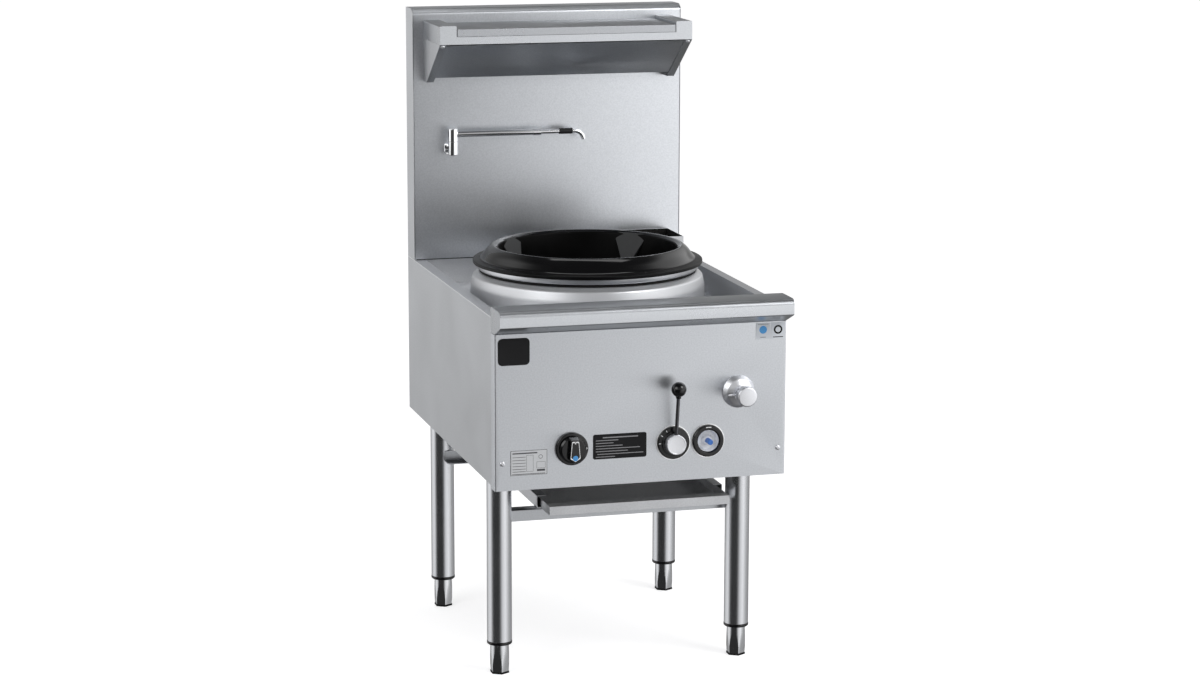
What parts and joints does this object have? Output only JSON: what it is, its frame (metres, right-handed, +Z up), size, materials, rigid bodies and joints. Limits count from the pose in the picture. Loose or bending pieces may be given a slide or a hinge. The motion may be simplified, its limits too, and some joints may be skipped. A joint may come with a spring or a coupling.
{
  "type": "wok range",
  "caption": "Free-standing gas wok range: square steel cabinet on round legs, cast wok ring over a water-cooled well, splashback with shelf and swinging water spout, drip tray.",
  "frame": {"origin": "on the floor, under the middle of the whole outline", "axes": "+Z up, +X to the right seen from the front, +Y towards the wall behind"},
  "size_m": [0.6, 0.857, 1.305],
  "materials": {
    "cabinet_steel": "satin brushed stainless sheet",
    "drum_steel": "satin stainless, spun",
    "leg_steel": "polished stainless tube",
    "foot_steel": "satin stainless casting",
    "ring_enamel": "gloss black enamel",
    "gasket_rope": "black heatproof seal",
    "chamber_iron": "raw cast iron",
    "valve_brass": "machined brass",
    "gas_pipe_steel": "zinc-plated steel pipe",
    "water_pipe_steel": "stainless pipe",
    "black_gloss": "gloss black phenolic",
    "satin_silver": "satin silver",
    "dark_steel": "dark steel rod",
    "blue_button": "gloss blue cap",
    "igniter_plastic": "matt moulding",
    "spring_steel": "bright spring wire",
    "spout_chrome": "polished chrome",
    "black_grip": "black rubber sleeve",
    "plate_black": "black plate",
    "screw_steel": "bright stainless"
  },
  "bodies": {
    "root": {"well_pan": "cabinet_steel", "side_panel_left": "cabinet_steel", "side_panel_right": "cabinet_steel", "front_panel": "cabinet_steel", "front_rail": "cabinet_steel", "rear_panel": "cabinet_steel", "splash_face": "cabinet_steel", "splash_side_left": "cabinet_steel", "splash_side_right": "cabinet_steel", "splash_back": "cabinet_steel", "shelf_frame": "cabinet_steel", "shelf_underside": "cabinet_steel", "shelf_bracket_left": "cabinet_steel", "shelf_bracket_right": "cabinet_steel", "front_cross_rail": "cabinet_steel", "rear_cross_rail": "cabinet_steel", "runner_left": "cabinet_steel", "runner_right": "cabinet_steel", "drum": "drum_steel", "drum_gasket": "gasket_rope", "ring_collar": "cabinet_steel", "chamber_liner": "chamber_iron", "flue_duct": "cabinet_steel", "flue_box": "cabinet_steel", "burner_head": "chamber_iron", "burner_venturi": "chamber_iron", "pilot_burner": "valve_brass", "control_valve": "valve_brass", "main_valve": "valve_brass", "tap_valve": "valve_brass", "gas_pipes": "gas_pipe_steel", "water_pipe": "water_pipe_steel", "control_dials": "black_gloss", "pilot_bezel": "black_gloss", "pilot_cup": "satin_silver", "pilot_igniter": "igniter_plastic", "pilot_spring": "spring_steel", "tap_flange": "satin_silver", "spout_elbow": "spout_chrome", "panel_plates": "plate_black", "panel_screws": "screw_steel", "leg_front_left": "leg_steel", "leg_front_right": "leg_steel", "leg_rear_left": "leg_steel", "leg_rear_right": "leg_steel"},
    "gas_knob": {"gas_knob": "black_gloss"},
    "lever": {"lever_hub": "satin_silver", "lever_stem": "dark_steel", "lever_ball": "black_gloss"},
    "pilot_button": {"pilot_button": "blue_button"},
    "tap_handle": {"tap_handle": "satin_silver"},
    "spout_swing": {"spout_barrel": "spout_chrome", "spout_arm": "spout_chrome"},
    "spout_slide": {"spout_tube": "spout_chrome", "spout_grip": "black_grip"},
    "drip_tray": {"drip_tray": "cabinet_steel"},
    "wok_ring": {"wok_ring": "ring_enamel"},
    "shelf_insert": {"shelf_insert": "cabinet_steel"},
    "foot_front_left": {"foot_front_left": "foot_steel"},
    "foot_front_right": {"foot_front_right": "foot_steel"},
    "foot_rear_left": {"foot_rear_left": "foot_steel"},
    "foot_rear_right": {"foot_rear_right": "foot_steel"}
  },
  "joints": [
    {"name": "gas_knob_turn", "type": "hinge", "parent": "root", "child": "gas_knob", "pos_m": [-0.144, -0.3665, 0.496], "axis": [0, -1, 0], "range_deg": [-90, 0]},
    {"name": "lever_turn", "type": "hinge", "parent": "root", "child": "lever", "pos_m": [0.065, -0.3665, 0.496], "axis": [0, -1, 0], "range_deg": [0, 90]},
    {"name": "pilot_button_press", "type": "slide", "parent": "root", "child": "pilot_button", "axis": [0, 1, 0], "range_m": [0, 0.004], "stiffness_N_per_m": 500, "springref_m": -0.004},
    {"name": "tap_handle_turn", "type": "hinge", "parent": "root", "child": "tap_handle", "pos_m": [0.2, -0.3665, 0.593], "axis": [0, -1, 0], "range_deg": [0, 90]},
    {"name": "spout_swing", "type": "hinge", "parent": "root", "child": "spout_swing", "pos_m": [-0.2195, 0.3305, 1.0375], "axis": [0, 0, 1], "range_deg": [-135, 0]},
    {"name": "spout_extend", "type": "slide", "parent": "spout_swing", "child": "spout_slide", "axis": [1, 0, 0], "range_m": [-0.04, 0.1]},
    {"name": "drip_tray_slide", "type": "slide", "parent": "root", "child": "drip_tray", "axis": [0, -1, 0], "range_m": [0, 0.45]},
    {"name": "wok_ring_lift", "type": "slide", "parent": "root", "child": "wok_ring", "axis": [0, 0, 1], "range_m": [0, 0.1]},
    {"name": "shelf_insert_lift", "type": "slide", "parent": "root", "child": "shelf_insert", "axis": [0, 0, 1], "range_m": [0, 0.05]},
    {"name": "foot_front_left_height", "type": "slide", "parent": "root", "child": "foot_front_left", "axis": [0, 0, -1], "range_m": [0, 0.04]},
    {"name": "foot_front_right_height", "type": "slide", "parent": "root", "child": "foot_front_right", "axis": [0, 0, -1], "range_m": [0, 0.04]},
    {"name": "foot_rear_left_height", "type": "slide", "parent": "root", "child": "foot_rear_left", "axis": [0, 0, -1], "range_m": [0, 0.04]},
    {"name": "foot_rear_right_height", "type": "slide", "parent": "root", "child": "foot_rear_right", "axis": [0, 0, -1], "range_m": [0, 0.04]}
  ]
}
